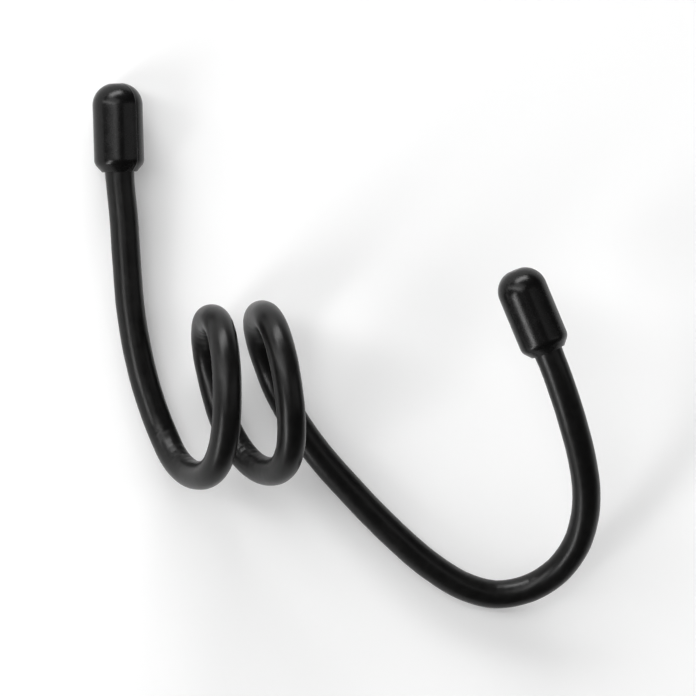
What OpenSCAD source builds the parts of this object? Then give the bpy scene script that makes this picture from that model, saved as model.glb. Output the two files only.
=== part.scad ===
// Bendable cable tie: a round rubber sheath over one soft steel wire, with a
// push-on rubber cap at each end. It is shown as it stays after being wound
// twice round a bundle of cable, lying on its back with the bundle gone.

/* [Rod] */
// Outside diameter of the rubber sheath
rod_d = 3.6; // [3:0.1:4.4]
// Diameter of the steel wire inside it
wire_d = 1.2; // [0.8:0.1:1.8]
// Clearance between the wire and the sheath, all round
wire_fit = 0.05; // [0.03:0.01:0.1]

/* [End caps] */
// Outside diameter of a cap
cap_d = 6.1; // [5.9:0.1:7.5]
// Length of a cap from its mouth to the top of its dome
cap_len = 10.8; // [10:0.1:14]
// Rounding of the dome's edge
dome_r = 2.7; // [1.8:0.1:2.9]
// Depth of the socket that takes the rod
socket_len = 8; // [5:0.1:9]
// Clearance between the rod and the socket, all round
cap_fit = 0.05; // [0.03:0.01:0.1]
// Gap between the end of the rod and the floor of the socket
seat_gap = 0.1; // [0.05:0.05:0.3]
// Thickness of the lip at the mouth
lip = 0.35; // [0.25:0.05:0.5]
// Length of the taper from the lip to the full width
taper_len = 1.1; // [1:0.1:2.5]
// Rounding of the shoulder where the taper meets the side
shoulder_r = 1.2; // [0.6:0.1:1.6]

/* [Turns round the bundle] */
// Number of turns
turns = 2; // [1:1:3]
// Height of the bundle that the turns were wound on
bundle_h = 15.4; // [12:0.1:20]
// Depth of the bundle, from front to back
bundle_d = 13.6; // [11:0.1:18]
// Radius that the bundle itself curves at
bundle_bend_r = 56; // [40:1:100]
// Squareness of a turn: 2 is an ellipse, more has flatter sides
squareness = 2.3; // [2:0.1:2.8]
// Advance from one turn to the next
pitch = 7.8; // [6.5:0.1:10]
// Share of the advance that is made behind the bundle, not in front
back_step = 1; // [0.6:0.05:1.4]

/* [Hidden] */

// Free ends, from the turns outwards, measured from where the turns end:
// across, up the bundle's height, and off the surface it lies on. The left
// end's last number is a share of the lift that its cap gives it.
left_tail = [
    [-0.8, 0, 0.04], [-1.9, 5.4, 0.08], [-2.55, 10.8, 0.25],
    [-2.8, 16.4, 0.55], [-2.95, 22, 0.85], [-3.2, 27.4, 1]
];
left_aim = [0.3, 10, 0];
right_tail = [
    [1.9, -3.9, 0], [4.4, -7.8, 0], [9, -13.5, 0], [13.9, -18.9, 0],
    [18.9, -23.5, 0], [22.9, -26.1, 0], [26.8, -27.3, 0.3], [30.6, -26.8, 1.4],
    [33.6, -25, 3.1], [35.6, -22.1, 5.1], [36.35, -18.6, 7.2], [36.15, -14.9, 9.2],
    [35.2, -11, 11], [33.8, -6.8, 12.6], [32.2, -2.2, 13.7], [30.5, 2.5, 14.1]
];
right_aim = [-3.3, 9.4, -0.5];

// Fineness of the mesh, and the step of the first turn where the left end leaves it
turn_steps = 24;
left_leaves = 2;
ring_gap = 2.3;
sheath_sides = 24;
wire_sides = 12;
sides_per_side = sheath_sides / wire_sides;

rod_r = rod_d / 2;
cap_r = cap_d / 2;
wire_r = wire_d / 2;
bore_r = wire_r + wire_fit;
socket_r = rod_r + cap_fit;
mouth_r = socket_r + lip;
rod_in_cap = socket_len - seat_gap;

// Half height and half depth of a turn, along the middle of the rod
turn_h = bundle_h / 2 + rod_r;
turn_d = bundle_d / 2 + rod_r;

function unit(v) = v / norm(v);
function flat_sided(c) = sign(c) * pow(abs(c), 2 / squareness);

// Point on the turns; a turn starts at the back and t counts turns
function turn_point(t) =
    let (
        a = 360 * (t - 0.5),
        along = pitch * (t - turns / 2 - back_step * sin(a) / (2 * PI)),
        up = turn_h * flat_sided(sin(a)),
        out = turn_d * flat_sided(cos(a)),
        bend = along / bundle_bend_r * 180 / PI
    )
    [
        (bundle_bend_r - up) * sin(bend),
        bundle_bend_r - (bundle_bend_r - up) * cos(bend),
        turn_d + out
    ];

turn_start = turn_point(0);
turn_end = turn_point(turns);
cap_lift = cap_r - rod_r;

left_points = [
    for (i = [len(left_tail) - 1 : -1 : 0])
        turn_start + [left_tail[i].x, left_tail[i].y, left_tail[i].z * cap_lift]
];
right_points = [for (p = right_tail) turn_end + p];
turn_points = [for (i = [left_leaves : turns * turn_steps]) turn_point(i / turn_steps)];
knots = concat(left_points, turn_points, right_points);
last_knot = len(knots) - 1;

// Slope of the smooth curve at each knot, per unit of length
function slope(i) =
    i == 0 ? -unit(left_aim)
    : i == last_knot ? unit(right_aim)
    : let (
        back = knots[i] - knots[i - 1],
        ahead = knots[i + 1] - knots[i],
        near = norm(back),
        far = norm(ahead)
    )
    (back * far / near + ahead * near / far) / (near + far);

function on_curve(a, b, slope_a, slope_b, s) =
    let (span = norm(b - a))
    a * (2 * s * s * s - 3 * s * s + 1)
    + slope_a * span * (s * s * s - 2 * s * s + s)
    + b * (3 * s * s - 2 * s * s * s)
    + slope_b * span * (s * s * s - s * s);

free_path = [
    for (i = [0 : last_knot - 1])
        let (cuts = max(1, round(norm(knots[i + 1] - knots[i]) / ring_gap)))
        for (j = [0 : cuts - 1])
            on_curve(knots[i], knots[i + 1], slope(i), slope(i + 1), j / cuts)
];

// Inside the caps the rod runs straight
socket_cuts = ceil(rod_in_cap / ring_gap);
left_mouth = knots[0];
right_mouth = knots[last_knot];
path = concat(
    [
        for (j = [socket_cuts : -1 : 1])
            left_mouth + unit(left_aim) * rod_in_cap * j / socket_cuts
    ],
    free_path,
    [for (j = [0 : socket_cuts]) right_mouth + unit(right_aim) * rod_in_cap * j / socket_cuts]
);
last = len(path) - 1;

headings = [
    for (i = [0 : last])
        unit(path[min(i + 1, last)] - path[max(i - 1, 0)])
];

// A side direction carried along the path without twist
function carry(side, heading) = unit(side - heading * (side * heading));
sides = [
    for (i = 0, s = carry([0, 0, 1], headings[0]);
         i <= last;
         i = i + 1, s = carry(s, headings[min(i, last)]))
        s
];

// Reach of the tie along one axis, down (way -1) or up (way 1)
function rod_reach(k, way) =
    max([for (i = [0 : last]) way * path[i][k] + rod_r * sqrt(1 - pow(headings[i][k], 2))]);
function cap_reach(mouth, aim, k, way) =
    let (d = unit(aim), sink = sqrt(1 - pow(d[k], 2)))
    max(
        way * (mouth[k] + d[k] * taper_len) + cap_r * sink,
        way * (mouth[k] + d[k] * (cap_len - dome_r)) + (cap_r - dome_r) * sink + dome_r
    );
function reach(k, way) = max(
    rod_reach(k, way),
    cap_reach(left_mouth, left_aim, k, way),
    cap_reach(right_mouth, right_aim, k, way)
);

// Puts the origin under the middle of the tie, on the surface it lies on
rest_shift = [
    (reach(0, -1) - reach(0, 1)) / 2,
    (reach(1, -1) - reach(1, 1)) / 2,
    reach(2, -1)
];

function ring(i, r, n) =
    let (u = sides[i], v = cross(headings[i], u))
    [for (k = [0 : n - 1]) path[i] + rest_shift + r * (u * cos(360 * k / n) + v * sin(360 * k / n))];
function rings(r, n) = [for (i = [0 : last]) each ring(i, r, n)];

// Walls of a tube of n sides, seen from outside or from inside
function walls(from, n, outside) = [
    for (i = [0 : last - 1], k = [0 : n - 1])
        let (
            a = from + i * n + k,
            b = from + i * n + (k + 1) % n,
            c = b + n,
            d = a + n
        )
        outside ? [a, d, c, b] : [a, b, c, d]
];

// Flat end of the sheath, between its outline and its bore
function end_faces(outer, bore, flip) = [
    for (k = [0 : wire_sides - 1])
        let (
            b0 = bore + k,
            b1 = bore + (k + 1) % wire_sides,
            mid = outer + k * sides_per_side + sides_per_side / 2
        )
        each concat(
            [flip ? [mid, b0, b1] : [mid, b1, b0]],
            [
                for (j = [0 : sides_per_side - 1])
                    let (
                        o0 = outer + k * sides_per_side + j,
                        o1 = outer + (k * sides_per_side + j + 1) % sheath_sides,
                        b = j < sides_per_side / 2 ? b0 : b1
                    )
                    flip ? [o1, o0, b] : [o0, o1, b]
            ]
        )
];

module steel_wire() {
    tail = last * wire_sides;
    color("silver")
        polyhedron(
            points = rings(wire_r, wire_sides),
            faces = concat(
                walls(0, wire_sides, true),
                [
                    [for (k = [0 : wire_sides - 1]) k],
                    [for (k = [wire_sides - 1 : -1 : 0]) tail + k]
                ]
            )
        );
}

module rubber_sheath() {
    bore = (last + 1) * sheath_sides;
    color([0.05, 0.05, 0.05])
        polyhedron(
            points = concat(rings(rod_r, sheath_sides), rings(bore_r, wire_sides)),
            faces = concat(
                walls(0, sheath_sides, true),
                walls(bore, wire_sides, false),
                end_faces(0, bore, false),
                end_faces(last * sheath_sides, bore + last * wire_sides, true)
            )
        );
}

// Arc about a centre, as points from one angle to another
function arc(centre, r, from, to, steps) =
    [for (i = [0 : steps]) centre + r * [cos(from + (to - from) * i / steps), sin(from + (to - from) * i / steps)]];

// Half section of a cap, axis on the left, mouth at the bottom
module cap_section() {
    taper = atan((cap_r - mouth_r) / taper_len);
    shoulder = taper_len + shoulder_r * tan(taper / 2);
    polygon(concat(
        [[socket_r, 0], [mouth_r, 0]],
        arc([cap_r - shoulder_r, shoulder], shoulder_r, -taper, 0, 4),
        arc([cap_r - dome_r, cap_len - dome_r], dome_r, 0, 90, 10),
        [[0, cap_len], [0, socket_len], [socket_r, socket_len]]
    ));
}

module cap(mouth, aim) {
    d = unit(aim);
    color([0.06, 0.06, 0.06])
        translate(mouth + rest_shift)
            rotate([0, acos(d.z), atan2(d.y, d.x)])
                rotate_extrude($fn = 64)
                    cap_section();
}

module left_cap() {
    cap(left_mouth, left_aim);
}

module right_cap() {
    cap(right_mouth, right_aim);
}

steel_wire();
rubber_sheath();
left_cap();
right_cap();
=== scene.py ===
import math

import bpy
import numpy as np
from mathutils import Matrix, Quaternion, Vector


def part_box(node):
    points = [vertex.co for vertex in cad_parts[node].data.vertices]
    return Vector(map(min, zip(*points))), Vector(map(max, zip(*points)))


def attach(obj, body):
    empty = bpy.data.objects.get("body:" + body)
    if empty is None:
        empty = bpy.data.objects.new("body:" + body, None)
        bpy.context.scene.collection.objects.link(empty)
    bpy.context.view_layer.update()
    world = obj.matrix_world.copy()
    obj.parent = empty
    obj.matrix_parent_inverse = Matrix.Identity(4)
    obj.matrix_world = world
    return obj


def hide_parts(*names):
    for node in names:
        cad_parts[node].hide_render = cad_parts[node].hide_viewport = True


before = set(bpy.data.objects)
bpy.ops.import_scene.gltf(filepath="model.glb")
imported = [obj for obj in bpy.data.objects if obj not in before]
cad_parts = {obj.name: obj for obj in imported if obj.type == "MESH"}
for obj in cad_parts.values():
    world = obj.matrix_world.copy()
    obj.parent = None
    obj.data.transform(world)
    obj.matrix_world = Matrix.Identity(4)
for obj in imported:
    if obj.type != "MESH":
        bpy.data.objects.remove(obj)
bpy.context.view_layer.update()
mm = 0.001
print("frame loaded:", ", ".join(sorted(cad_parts)))


# The route of the rod, the same as in the part's source, in millimetres

turnShape = {
    "turns": 2,
    "bundleHeight": 15.4,
    "bundleDepth": 13.6,
    "bundleBend": 56.0,
    "squareness": 2.3,
    "pitch": 7.8,
    "backStep": 1.0,
    "stepsPerTurn": 24,
    "leftLeaves": 2,            # step of the first turn where the left end leaves it
}
leftTail = [
    (-0.8, 0, 0.04), (-1.9, 5.4, 0.08), (-2.55, 10.8, 0.25),
    (-2.8, 16.4, 0.55), (-2.95, 22, 0.85), (-3.2, 27.4, 1),
]
leftAim = (0.3, 10, 0)
rightTail = [
    (1.9, -3.9, 0), (4.4, -7.8, 0), (9, -13.5, 0), (13.9, -18.9, 0),
    (18.9, -23.5, 0), (22.9, -26.1, 0), (26.8, -27.3, 0.3), (30.6, -26.8, 1.4),
    (33.6, -25, 3.1), (35.6, -22.1, 5.1), (36.35, -18.6, 7.2), (36.15, -14.9, 9.2),
    (35.2, -11, 11), (33.8, -6.8, 12.6), (32.2, -2.2, 13.7), (30.5, 2.5, 14.1),
]
rightAim = (-3.3, 9.4, -0.5)
rod = {
    "radius": 1.8,
    "wireRadius": 0.6,
    "wireFit": 0.05,
    "sides": 48,
    "ringGap": 0.25,            # between the rings of the finished sheath
    "endRings": (0, 0.02, 0.1, 0.3),    # closer ones, measured from each end
    "evenFrom": 0.7,            # the even rings start this far from an end
    "mouthGap": 0.1,            # and stop this far inside the cap's mouth
    "weld": 0.002,              # reach that joins the bore to the sheath's ends
    "inset": 0.012,             # keeps the rounder skin inside the source's box
    "lumps": 0.07,              # how far the extruded surface wanders, inwards only
    "lumpSize": 3.2,
    "ripple": 0.02,
    "rippleSize": 0.9,
    "fadeRings": 5,             # rings outside a cap over which all this comes in
    "creaseGap": 1.3,           # between the wrinkles on the inside of a tight bend
    "creaseDepth": 0.09,
    "creaseBend": (0.08, 0.3),  # rod's radius over the bend's: they begin, they are full
    "creasePatch": 4.4,         # size of the patches that they come in
    "creaseCover": (0.3, 0.62),     # noise at the edge and in the middle of a patch
    "creaseWaver": (1.6, 0.5),  # gaps by which the coarse and the fine noise shift them
    "creaseFine": 4.0,          # cells of the fine noise to one of the coarse
    "creaseSharpness": 2.0,
    "seed": 4.0,
    "roughness": 0.33,
    "lines": 0.25,              # weight of the extrusion lines
}
cap = {
    "radius": 3.05,
    "length": 10.8,
    "domeRadius": 2.7,
    "socketDepth": 8.0,
    "socketFit": 0.05,
    "seatGap": 0.1,
    "lip": 0.35,
    "taperLength": 1.1,
    "shoulderRadius": 1.2,
    "sides": 128,
    "floorRing": 0.2,           # from the socket's floor to the next ring
    "socketSteps": 12,
    "lipSteps": 5,
    "shoulderSteps": 8,
    "sideSteps": 16,
    "domeSteps": 26,
    "topRings": (0.3, 0.2, 0.1),
    "poleRadius": 0.02,         # of the last ring round the axis
    "lipRound": 0.12,
    "seamAt": math.pi / 2,      # moulding line along both sides
    "seamSteps": (0, 0.015, 0.03, 0.05),
    "seamHeight": 0.03,
    "seamWidth": 0.09,
    "seamCore": 0.3,            # radius inside which it narrows towards the axis
    "seamFade": 1.0,            # radius inside which it gets lower towards the axis
    "gateRadius": 0.62,         # shallow dimple on top of the dome
    "gateDepth": 0.1,
    "gateSteepness": 4,
    "gateReach": 1.0,           # height of the top that it can touch
    "turned": (0.5, 1.1),       # radians round the rod: the left cap, the right cap
    "roughness": 0.26,
    "lines": 0.0,
}
boreRadius = rod["wireRadius"] + rod["wireFit"]
rodInCap = cap["socketDepth"] - cap["seatGap"]


def unit(v):
    return v / np.linalg.norm(v)


def flatSided(c):
    return math.copysign(abs(c) ** (2 / turnShape["squareness"]), c)


def turnPoint(t):
    angle = 2 * math.pi * (t - 0.5)
    halfHeight = turnShape["bundleHeight"] / 2 + rod["radius"]
    halfDepth = turnShape["bundleDepth"] / 2 + rod["radius"]
    step = turnShape["backStep"] * math.sin(angle) / (2 * math.pi)
    along = turnShape["pitch"] * (t - turnShape["turns"] / 2 - step)
    bend = along / turnShape["bundleBend"]
    inner = turnShape["bundleBend"] - halfHeight * flatSided(math.sin(angle))
    return np.array([
        inner * math.sin(bend),
        turnShape["bundleBend"] - inner * math.cos(bend),
        halfDepth * (1 + flatSided(math.cos(angle))),
    ])


def makeKnots():
    steps = turnShape["turns"] * turnShape["stepsPerTurn"]
    lift = cap["radius"] - rod["radius"]
    left = [
        turnPoint(0) + np.array([x, y, share * lift])
        for x, y, share in reversed(leftTail)
    ]
    middle = [
        turnPoint(i / turnShape["stepsPerTurn"])
        for i in range(turnShape["leftLeaves"], steps + 1)
    ]
    right = [turnPoint(turnShape["turns"]) + np.array(p) for p in rightTail]
    return left + middle + right


def smoothPath(knots, startSlope, endSlope, gap):
    slopes = [startSlope]
    for before, here, after in zip(knots, knots[1:], knots[2:]):
        back, ahead = here - before, after - here
        near, far = np.linalg.norm(back), np.linalg.norm(ahead)
        slopes.append((back * far / near + ahead * near / far) / (near + far))
    slopes.append(endSlope)
    points = []
    for a, b, slopeA, slopeB in zip(knots, knots[1:], slopes, slopes[1:]):
        span = np.linalg.norm(b - a)
        cuts = max(1, round(span / gap))
        for s in (j / cuts for j in range(cuts)):
            points.append(
                a * (2 * s**3 - 3 * s**2 + 1) + slopeA * span * (s**3 - 2 * s**2 + s)
                + b * (3 * s**2 - 2 * s**3) + slopeB * span * (s**3 - s**2)
            )
    return points + [knots[-1]]


def arc(x, y, radius, start, stop, steps):
    angles = np.radians(np.linspace(start, stop, steps + 1))
    return [(x + radius * math.cos(a), y + radius * math.sin(a)) for a in angles]


def capProfile():
    # half section in two runs: the socket up to the lip, then the outside to the top
    socket = rod["radius"] + cap["socketFit"]
    mouth = socket + cap["lip"]
    depth, edge, dome = cap["socketDepth"], cap["lipRound"], cap["domeRadius"]
    taper = math.degrees(math.atan2(cap["radius"] - mouth, cap["taperLength"]))
    rounding = cap["shoulderRadius"]
    shoulder = cap["taperLength"] + rounding * math.tan(math.radians(taper / 2))
    sideTop = cap["length"] - dome
    walls = np.linspace(depth - cap["floorRing"], edge * 2, cap["socketSteps"])
    inner = [(cap["poleRadius"], depth), (socket / 2, depth), (socket, depth)]
    inner += [(socket, z) for z in walls]
    inner += arc(socket + edge, edge, edge, 180, 270, cap["lipSteps"])
    outer = arc(mouth - edge, edge, edge, 270, 360 - taper, cap["lipSteps"])
    outer += arc(cap["radius"] - rounding, shoulder, rounding, -taper, 0, cap["shoulderSteps"])
    outer += [(cap["radius"], z) for z in np.linspace(shoulder, sideTop, cap["sideSteps"])[1:-1]]
    outer += arc(cap["radius"] - dome, sideTop, dome, 0, 90, cap["domeSteps"])
    outer += [(r, cap["length"]) for r in (*cap["topRings"], cap["poleRadius"])]
    return inner, outer


def capLowCorner(mouth, way):
    inner, outer = capProfile()
    return np.array([
        min(mouth[k] + way[k] * z - r * math.sqrt(1 - way[k] ** 2) for r, z in inner + outer)
        for k in range(3)
    ])


knots = makeKnots()
leftWay, rightWay = (unit(np.array(aim, float)) for aim in (leftAim, rightAim))
restShift = np.array(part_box("left_cap")[0]) / mm - capLowCorner(knots[0], leftWay)
knots = [k + restShift for k in knots]
leftMouth, rightMouth = knots[0], knots[-1]
off = np.array(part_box("right_cap")[0]) / mm - capLowCorner(rightMouth, rightWay)
print("route set on the frame, right cap off by", np.round(off, 3), "mm")


# Node trees and materials

class Nodes:
    # one method adds any node: its settings first, then its sockets' values or links
    def __init__(self, tree):
        self.tree = tree
        tree.nodes.clear()

    def add(self, kind, settings=None, **sockets):
        node = self.tree.nodes.new(kind)
        for key, value in (settings or {}).items():
            setattr(node, key, value)
        self.fill(node, **sockets)
        return node

    def fill(self, node, **sockets):
        for key, value in sockets.items():
            socket = self.find(node.inputs, key)
            if isinstance(value, Signal):
                self.tree.links.new(value.socket, socket)
            else:
                socket.default_value = value

    def find(self, sockets, key):
        # input3 is the fourth socket, for nodes that repeat a name
        if key.startswith("input") and key[5:].isdigit():
            return sockets[int(key[5:])]
        for socket in sockets:
            if socket.enabled and socket.name.replace(" ", "").lower() == key:
                return socket
        raise KeyError(key)

    def signal(self, kind, settings=None, output=None, **sockets):
        # the named output, or else the first one that is in use
        outputs = self.add(kind, settings, **sockets).outputs
        socket = outputs[output] if output else next(s for s in outputs if s.enabled)
        return Signal(self, socket)

    def vectorMath(self, operation, **sockets):
        return self.signal("ShaderNodeVectorMath", {"operation": operation}, **sockets)


class Signal:
    # a node's output; a sum on it adds Math nodes, also the other way round, as in 1 - mask
    def __init__(self, nodes, socket):
        self.nodes = nodes
        self.socket = socket

    def math(self, operation, *values):
        sockets = {f"input{i}": value for i, value in enumerate(values)}
        return self.nodes.signal("ShaderNodeMath", {"operation": operation}, **sockets)

    def __add__(self, other):
        return self.math("ADD", self, other)

    def __radd__(self, other):
        return self.math("ADD", other, self)

    def __sub__(self, other):
        return self.math("SUBTRACT", self, other)

    def __rsub__(self, other):
        return self.math("SUBTRACT", other, self)

    def __mul__(self, other):
        return self.math("MULTIPLY", self, other)

    def __rmul__(self, other):
        return self.math("MULTIPLY", other, self)

    def __truediv__(self, other):
        return self.math("DIVIDE", self, other)

    def __rtruediv__(self, other):
        return self.math("DIVIDE", other, self)

    def __pow__(self, other):
        return self.math("POWER", self, other)

    def __rpow__(self, other):
        return self.math("POWER", other, self)

    def between(self, low, high):
        # 0 below low, 1 above high, smooth between
        return self.nodes.signal(
            "ShaderNodeMapRange", {"interpolation_type": "SMOOTHSTEP"},
            value=self, frommin=low, frommax=high,
        )


def newMaterial(name):
    material = bpy.data.materials.new(name)
    material.use_nodes = True
    nodes = Nodes(material.node_tree)
    shader = nodes.add("ShaderNodeBsdfPrincipled")
    nodes.add("ShaderNodeOutputMaterial", surface=Signal(nodes, shader.outputs[0]))
    return material, nodes, shader


def noise(nodes, place, scale, detail=2.0, roughness=0.5):
    return nodes.signal(
        "ShaderNodeTexNoise", {"normalize": True},
        vector=place, scale=scale, detail=detail, roughness=roughness,
    )


def mixColour(nodes, share, first, second):
    return nodes.signal(
        "ShaderNodeMix", {"data_type": "RGBA"}, factor=share, a=first, b=second,
    )


rubber = {
    "deep": (0.002, 0.0019, 0.0019, 1),
    "worn": (0.0075, 0.0073, 0.007, 1),
    "ior": 1.32,
    # each noise: cells per millimetre, detail, roughness
    "mottle": (0.9, 4.0, 0.6),
    "cloud": (0.225, 2.0, 0.5),
    "grain": (7.0, 2.0, 0.6),
    "streaks": (1.0, 2.0, 0.5),
    "streakStretch": (5.0, 5.0, 0.12),
    # what each noise weighs in the colour, the relief and the roughness
    "mottleTone": 0.55,
    "cloudTone": 0.3,
    "toneRange": (0.35, 0.95),
    "grainHeight": 0.55,
    "streakHeight": 1.4,
    "mottleHeight": 0.5,
    "relief": 0.018,            # millimetres
    "reliefStrength": 0.45,
    "mottleGloss": 0.16,
    "grainGloss": 0.1,
}


def rubberMaterial(name, attribute, finish):
    material, nodes, shader = newMaterial(name)
    place = nodes.signal("ShaderNodeAttribute", {"attribute_name": attribute}, "Vector")
    mottle = noise(nodes, place, *rubber["mottle"])
    cloud = noise(nodes, place, *rubber["cloud"])
    grain = noise(nodes, place, *rubber["grain"])
    stretched = nodes.vectorMath("MULTIPLY", input0=place, input1=rubber["streakStretch"])
    streaks = noise(nodes, stretched, *rubber["streaks"])
    tone = rubber["mottleTone"] * mottle + rubber["cloudTone"] * cloud + finish["lines"] * streaks
    height = (
        grain * rubber["grainHeight"]
        + streaks * (rubber["streakHeight"] * finish["lines"])
        + mottle * rubber["mottleHeight"]
    )
    gloss = rubber["mottleGloss"] * (mottle - 0.5), rubber["grainGloss"] * (grain - 0.5)
    nodes.fill(
        shader,
        basecolor=mixColour(
            nodes, tone.between(*rubber["toneRange"]), rubber["deep"], rubber["worn"],
        ),
        normal=nodes.signal(
            "ShaderNodeBump", strength=rubber["reliefStrength"],
            distance=rubber["relief"] * mm, height=height,
        ),
        roughness=finish["roughness"] + gloss[0] + gloss[1],
        ior=rubber["ior"],
    )
    return material


steel = {
    "dark": (0.42, 0.42, 0.43, 1),
    "light": (0.6, 0.6, 0.61, 1),
    # each noise: cells per metre, detail, roughness
    "drawn": (2600.0, 3.0, 0.6),
    "dull": (300.0, 2.0, 0.5),
    "roughness": 0.3,
    "drawnGloss": 0.15,
    "relief": 0.004,            # millimetres
    "reliefStrength": 0.3,
}


def steelMaterial():
    material, nodes, shader = newMaterial("drawnSteel")
    place = nodes.signal("ShaderNodeTexCoord", output="Object")
    drawn = noise(nodes, place, *steel["drawn"])
    dull = noise(nodes, place, *steel["dull"])
    nodes.fill(
        shader,
        basecolor=mixColour(nodes, dull, steel["dark"], steel["light"]),
        metallic=1.0,
        roughness=steel["roughness"] + steel["drawnGloss"] * drawn,
        normal=nodes.signal(
            "ShaderNodeBump", strength=steel["reliefStrength"],
            distance=steel["relief"] * mm, height=drawn,
        ),
    )
    return material


sheathRubber = rubberMaterial("sheathRubber", "rodPlace", rod)
capRubber = rubberMaterial("capRubber", "capPlace", cap)
print("materials made")


# Camera: the photograph's viewing angle, near enough for the tie to fill the frame

camera = {
    "lean": 18.0,               # degrees that it stands left of straight above
    "roll": 3.5,
    "distance": 1.0,
    "fill": 0.76,
    "sensor": 36.0,
    "clip": (0.01, 20),
}


def newObject(name, data):
    added = bpy.data.objects.new(name, data)
    bpy.context.scene.collection.objects.link(added)
    return added


def cameraAxes():
    lean, roll = math.radians(camera["lean"]), math.radians(camera["roll"])
    turn = Matrix.Rotation(-roll, 3, "Z")
    right = turn @ Vector((math.cos(lean), 0, math.sin(lean)))
    up = turn @ Vector((0, 1, 0))
    return right, up, right.cross(up)


def makeCamera():
    right, up, back = cameraAxes()
    seen = [v.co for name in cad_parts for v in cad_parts[name].data.vertices]
    reach = [[axis.dot(p) for p in seen] for axis in (right, up, back)]
    across, along, depth = [(min(places), max(places)) for places in reach]
    middle = right * sum(across) / 2 + up * sum(along) / 2 + back * sum(depth) / 2
    width = max(across[1] - across[0], along[1] - along[0]) / camera["fill"]
    data = bpy.data.cameras.new("camera")
    data.sensor_width = camera["sensor"]
    data.lens = camera["sensor"] * camera["distance"] / width
    data.clip_start, data.clip_end = camera["clip"]
    turned = Matrix((right, up, back)).transposed().to_4x4()
    shown = newObject("camera", data)
    shown.matrix_world = Matrix.Translation(middle + back * camera["distance"]) @ turned
    bpy.context.scene.camera = shown
    print("camera set, frame width", round(width / mm, 1), "mm")
    return middle


aimPoint = makeCamera()


# Pieces

def addPiece(name, mesh, material, node):
    piece = newObject(name, mesh)
    if not mesh.materials:
        mesh.materials.append(material)
    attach(piece, "root")
    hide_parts(node)


def storeValues(mesh, name, values):
    values = np.array(values, np.float32)
    kind, key = ("FLOAT", "value") if values.ndim == 1 else ("FLOAT_VECTOR", "vector")
    attribute = mesh.attributes.new(name, kind, "POINT")
    attribute.data.foreach_set(key, values.ravel())


sheathInputs = {
    "Rod radius": ("Float", rod["radius"]),
    "Bore radius": ("Float", boreRadius * mm),
    "Weld distance": ("Float", rod["weld"] * mm),
    "Lumps": ("Float", rod["lumps"]),
    "Lump size": ("Float", rod["lumpSize"]),
    "Ripple": ("Float", rod["ripple"]),
    "Ripple size": ("Float", rod["rippleSize"]),
    "Crease gap": ("Float", rod["creaseGap"]),
    "Crease depth": ("Float", rod["creaseDepth"]),
    "Crease patch": ("Float", rod["creasePatch"]),
    "Seed": ("Float", rod["seed"]),
    "Sides": ("Int", rod["sides"]),
    "Material": ("Material", sheathRubber),
}


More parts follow.
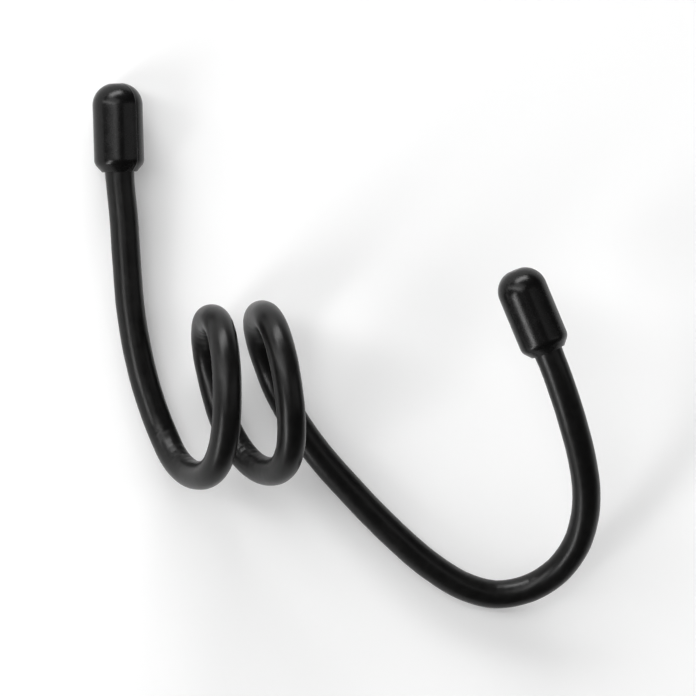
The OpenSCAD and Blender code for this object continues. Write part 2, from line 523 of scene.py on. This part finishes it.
def sheathTree():
    # sweeps the sheath and its bore along the path, joins them at the ends
    tree = bpy.data.node_groups.new("sweepSheath", "GeometryNodeTree")
    nodes = Nodes(tree)
    face = tree.interface
    face.new_socket("Geometry", in_out="INPUT", socket_type="NodeSocketGeometry")
    for name, (kind, _) in sheathInputs.items():
        face.new_socket(name, in_out="INPUT", socket_type="NodeSocket" + kind)
    face.new_socket("Geometry", in_out="OUTPUT", socket_type="NodeSocketGeometry")
    given = nodes.add("NodeGroupInput")
    take = {socket.name: Signal(nodes, socket) for socket in given.outputs if socket.name}

    def attribute(name, kind="FLOAT"):
        return nodes.signal("GeometryNodeInputNamedAttribute", {"data_type": kind}, name=name)

    def store(geometry, name, kind, value):
        return nodes.signal(
            "GeometryNodeStoreNamedAttribute", {"data_type": kind, "domain": "POINT"},
            geometry=geometry, name=name, value=value,
        )

    curve = nodes.signal("GeometryNodeMeshToCurve", mesh=take["Geometry"])
    circle = nodes.signal(
        "GeometryNodeCurvePrimitiveCircle", resolution=take["Sides"], radius=1.0,
    )
    angle = nodes.signal("GeometryNodeSplineParameter") * (2 * math.pi)
    direction = nodes.signal(
        "ShaderNodeCombineXYZ",
        x=angle.math("COSINE", angle), y=angle.math("SINE", angle), z=0.0,
    )
    circle = store(circle, "aroundWay", "FLOAT_VECTOR", direction)

    def sweep(radius):
        return nodes.signal(
            "GeometryNodeCurveToMesh", curve=curve, profilecurve=circle, scale=radius,
        )

    outer = store(sweep(attribute("outerRadius")), "isOuter", "FLOAT", 1.0)
    bore = nodes.signal("GeometryNodeFlipFaces", mesh=sweep(take["Bore radius"]))
    bore = store(bore, "isOuter", "FLOAT", 0.0)
    joined = nodes.add("GeometryNodeJoinGeometry")
    for part in (bore, outer):
        nodes.fill(joined, geometry=part)
    whole = nodes.signal(
        "GeometryNodeMergeByDistance",
        geometry=Signal(nodes, joined.outputs[0]), distance=take["Weld distance"],
    )

    # place on the straightened rod, in millimetres: round it, then along it
    around = nodes.vectorMath(
        "SCALE", vector=attribute("aroundWay", "FLOAT_VECTOR"), scale=take["Rod radius"],
    )
    lengthwise = nodes.signal("ShaderNodeCombineXYZ", x=0.0, y=0.0, z=attribute("along"))
    place = nodes.vectorMath("ADD", input0=around, input1=lengthwise)
    whole = store(whole, "rodPlace", "FLOAT_VECTOR", place)
    stored = attribute("rodPlace", "FLOAT_VECTOR")
    normal = nodes.signal("GeometryNodeInputNormal")

    # wrinkles across the inside of a tight bend, in patches
    inside = nodes.vectorMath(
        "DOT_PRODUCT", input0=normal, input1=attribute("inward", "FLOAT_VECTOR"),
    )
    coarse = noise(nodes, stored, 1.0 / take["Crease patch"])
    fine = noise(nodes, stored, rod["creaseFine"] / take["Crease patch"], 1.0)
    coarseShift, fineShift = rod["creaseWaver"]
    waver = coarse * coarseShift + fine * fineShift
    phase = (attribute("along") / take["Crease gap"] + waver) * (2 * math.pi)
    fold = (0.5 + 0.5 * phase.math("SINE", phase)) ** rod["creaseSharpness"]
    cover = inside.between(*rod["creaseBend"]) * coarse.between(*rod["creaseCover"])
    creases = fold * cover * take["Crease depth"]

    def wander(size, amount):
        cells = nodes.signal(
            "ShaderNodeTexNoise", {"noise_dimensions": "4D", "normalize": True},
            vector=stored, w=take["Seed"], scale=1.0 / size, detail=1.0,
        )
        return cells * amount

    lumps = wander(take["Lump size"], take["Lumps"])
    ripple = wander(take["Ripple size"], take["Ripple"])
    sink = (lumps + ripple + creases) * attribute("isOuter") * attribute("free") * -mm
    push = nodes.vectorMath("SCALE", vector=normal, scale=sink)
    shaped = nodes.signal("GeometryNodeSetPosition", geometry=whole, offset=push)
    smooth = nodes.signal("GeometryNodeSetShadeSmooth", geometry=shaped)
    real = nodes.signal("GeometryNodeRealizeInstances", geometry=smooth)
    dressed = nodes.signal(
        "GeometryNodeSetMaterial", geometry=real, material=take["Material"],
    )
    nodes.add("NodeGroupOutput", geometry=dressed)
    return tree


def setInputs(modifier):
    for item in modifier.node_group.interface.items_tree:
        if item.item_type == "SOCKET" and item.in_out == "INPUT" and item.name in sheathInputs:
            modifier[item.identifier] = sheathInputs[item.name][1]


def makeSheath():
    close = [rodInCap - d for d in rod["endRings"]]
    even = np.arange(rodInCap - rod["evenFrom"], rod["mouthGap"], -rod["ringGap"])
    depths = [*close, *even]
    points = np.array(
        [leftMouth + leftWay * depth for depth in depths]
        + smoothPath(knots, -leftWay, rightWay, rod["ringGap"])
        + [rightMouth + rightWay * depth for depth in reversed(depths)]
    )
    count = len(points)
    steps = np.linalg.norm(np.diff(points, axis=0), axis=1)
    along = np.concatenate([[0], np.cumsum(steps)])
    radius = np.full(count, rod["radius"] - rod["inset"])
    radius[[0, -1]] = boreRadius
    fromLeft = np.arange(count) - len(depths)
    free = np.clip(np.minimum(fromLeft, fromLeft[::-1]) / rod["fadeRings"], 0, 1)
    # towards the middle of the bend, as long as the rod's radius over the bend's
    heading = np.gradient(points, axis=0)
    heading /= np.linalg.norm(heading, axis=1)[:, None]
    inward = np.gradient(heading, along, axis=0) * rod["radius"]

    mesh = bpy.data.meshes.new("rodPath")
    mesh.from_pydata((points * mm).tolist(), [(i, i + 1) for i in range(count - 1)], [])
    storeValues(mesh, "outerRadius", radius * mm)
    storeValues(mesh, "along", along)
    storeValues(mesh, "free", free)
    storeValues(mesh, "inward", inward)
    path = newObject("rodPath", mesh)
    modifier = path.modifiers.new("sweep", "NODES")
    modifier.node_group = sheathTree()
    setInputs(modifier)
    graph = bpy.context.evaluated_depsgraph_get()
    swept = bpy.data.meshes.new_from_object(path.evaluated_get(graph))
    path.modifiers.remove(modifier)
    bpy.data.objects.remove(path)
    swept.name = "sheath"
    print("sheath swept:", len(swept.polygons), "faces,", round(along[-1], 1), "mm long")
    addPiece("sheath", swept, sheathRubber, "rubber_sheath")


def capAngles():
    # even ones, with closer ones at the moulding line
    even = np.linspace(0, 2 * math.pi, cap["sides"], endpoint=False)
    near = [
        cap["seamAt"] + half + way * step
        for half in (0, math.pi) for way in (-1, 1) for step in cap["seamSteps"]
    ]
    return np.unique(np.round(np.concatenate([even, near]) % (2 * math.pi), 5))


def makeCap(name, mouth, way, roll, node):
    inner, outer = capProfile()
    profile = np.array(inner + outer)
    radii, heights = profile[:, :1], profile[:, 1:]
    slope = np.gradient(profile, axis=0)
    outward = np.stack([slope[:, 1], -slope[:, 0]], 1)
    outward /= np.linalg.norm(outward, axis=1)[:, None]
    isOuter = np.arange(len(profile))[:, None] >= len(inner)
    isTop = heights > cap["length"] - cap["gateReach"]
    dimple = np.exp(-(radii / cap["gateRadius"]) ** cap["gateSteepness"])
    dimple = dimple * cap["gateDepth"] * isTop

    angles = capAngles()
    turned = (angles - cap["seamAt"]) % math.pi
    fromSeam = np.minimum(turned, math.pi - turned) * np.maximum(radii, cap["seamCore"])
    seam = cap["seamHeight"] * np.exp(-(fromSeam / cap["seamWidth"]) ** 2)
    seam = seam * np.minimum(1, radii / cap["seamFade"]) * isOuter
    r = radii + outward[:, :1] * seam
    z = heights + outward[:, 1:] * seam - dimple
    places = np.stack([r * np.cos(angles + roll), r * np.sin(angles + roll), z], -1)
    places = places.reshape(-1, 3)
    side = unit(np.cross(way, [0, 0, 1]))
    points = (mouth + places @ np.array([side, np.cross(way, side), way])) * mm

    rings, around = len(profile), len(angles)
    faces = [
        (i * around + j, i * around + k, (i + 1) * around + k, (i + 1) * around + j)
        for i in range(rings - 1)
        for j, k in zip(range(around), [*range(1, around), 0])
    ]
    faces.append(tuple(range(around - 1, -1, -1)))
    faces.append(tuple(range((rings - 1) * around, rings * around)))
    mesh = bpy.data.meshes.new(name)
    mesh.from_pydata(points.tolist(), [], faces)
    storeValues(mesh, "capPlace", places)
    mesh.polygons.foreach_set("use_smooth", [True] * len(mesh.polygons))
    mesh.update()
    print(name, "made:", len(mesh.polygons), "faces")
    addPiece(name, mesh, capRubber, node)


def dressWire():
    # out of sight in the sheath, so the source's own wire is kept
    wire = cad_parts["steel_wire"]
    wire.data.materials.clear()
    wire.data.materials.append(steelMaterial())
    print("wire dressed")


makeSheath()
makeCap("leftCap", leftMouth, leftWay, cap["turned"][0], "left_cap")
makeCap("rightCap", rightMouth, rightWay, cap["turned"][1], "right_cap")
dressWire()


# Stage: a plain pale floor, soft light from the upper left, a weak fill from the right

stage = {
    "floorSize": 8.0,
    "floorColour": (0.88, 0.88, 0.88, 1),
    "floorRoughness": 0.9,
    "floorGlow": 0.14,          # seen directly and in gloss, brings the background to white
    "worldColour": (1.0, 1.0, 1.0, 1),
    "worldStrength": 0.08,
    "leastSlant": 0.2,          # lamps lower than this are taken as this steep
}
lamps = [
    # name, place across, up and back from the tie, width, height, spin, light on the floor
    ("overhead", (-0.5, 0.5, 1.3), 1.0, 1.5, 0, 0.29),
    ("leftStrip", (-0.95, 0.35, 1.15), 0.26, 1.9, 0, 0.18),
    ("leftLow", (-1.05, -0.8, 0.9), 0.26, 1.3, 40, 0.19),
    ("topBox", (-0.25, 1.5, 0.7), 1.5, 0.6, 0, 0.38),
    ("rightFill", (1.25, 0.1, 0.9), 0.3, 1.6, 0, 0.05),
]


def makeFloor():
    half = stage["floorSize"] / 2
    corners = [(-half, -half, 0), (half, -half, 0), (half, half, 0), (-half, half, 0)]
    mesh = bpy.data.meshes.new("floor")
    mesh.from_pydata(corners, [], [(0, 1, 2, 3)])
    material, nodes, shader = newMaterial("paleFloor")
    rays = nodes.add("ShaderNodeLightPath")
    direct, glossy, through = (
        Signal(nodes, rays.outputs[name])
        for name in ("Is Camera Ray", "Is Glossy Ray", "Is Transmission Ray")
    )
    glow = (direct + glossy + through) * stage["floorGlow"]
    glowColour = nodes.signal("ShaderNodeCombineColor", red=glow, green=glow, blue=glow)
    nodes.fill(
        shader, basecolor=stage["floorColour"], roughness=stage["floorRoughness"],
        emissioncolor=glowColour, emissionstrength=1.0,
    )
    mesh.materials.append(material)
    newObject("floor", mesh)


def makeLights():
    right, up, back = cameraAxes()
    for name, (x, y, z), width, height, spin, level in lamps:
        away = right * x + up * y + back * z
        slant = max(away.normalized().z, stage["leastSlant"])
        data = bpy.data.lights.new(name, "AREA")
        data.shape = "RECTANGLE"
        data.size, data.size_y = width, height
        data.energy = math.pi**2 * away.length_squared * level / slant
        spun = Quaternion((0, 0, 1), math.radians(spin))
        lamp = newObject(name, data)
        lamp.location = aimPoint + away
        lamp.rotation_mode = "QUATERNION"
        lamp.rotation_quaternion = away.to_track_quat("Z", "Y") @ spun


def makeWorld():
    world = bpy.data.worlds.new("paleRoom")
    bpy.context.scene.world = world
    world.use_nodes = True
    nodes = Nodes(world.node_tree)
    plain = nodes.signal(
        "ShaderNodeBackground", color=stage["worldColour"], strength=stage["worldStrength"],
    )
    nodes.add("ShaderNodeOutputWorld", surface=plain)


makeFloor()
makeLights()
makeWorld()
bpy.context.scene.view_settings.view_transform = "Standard"
print("stage lit")
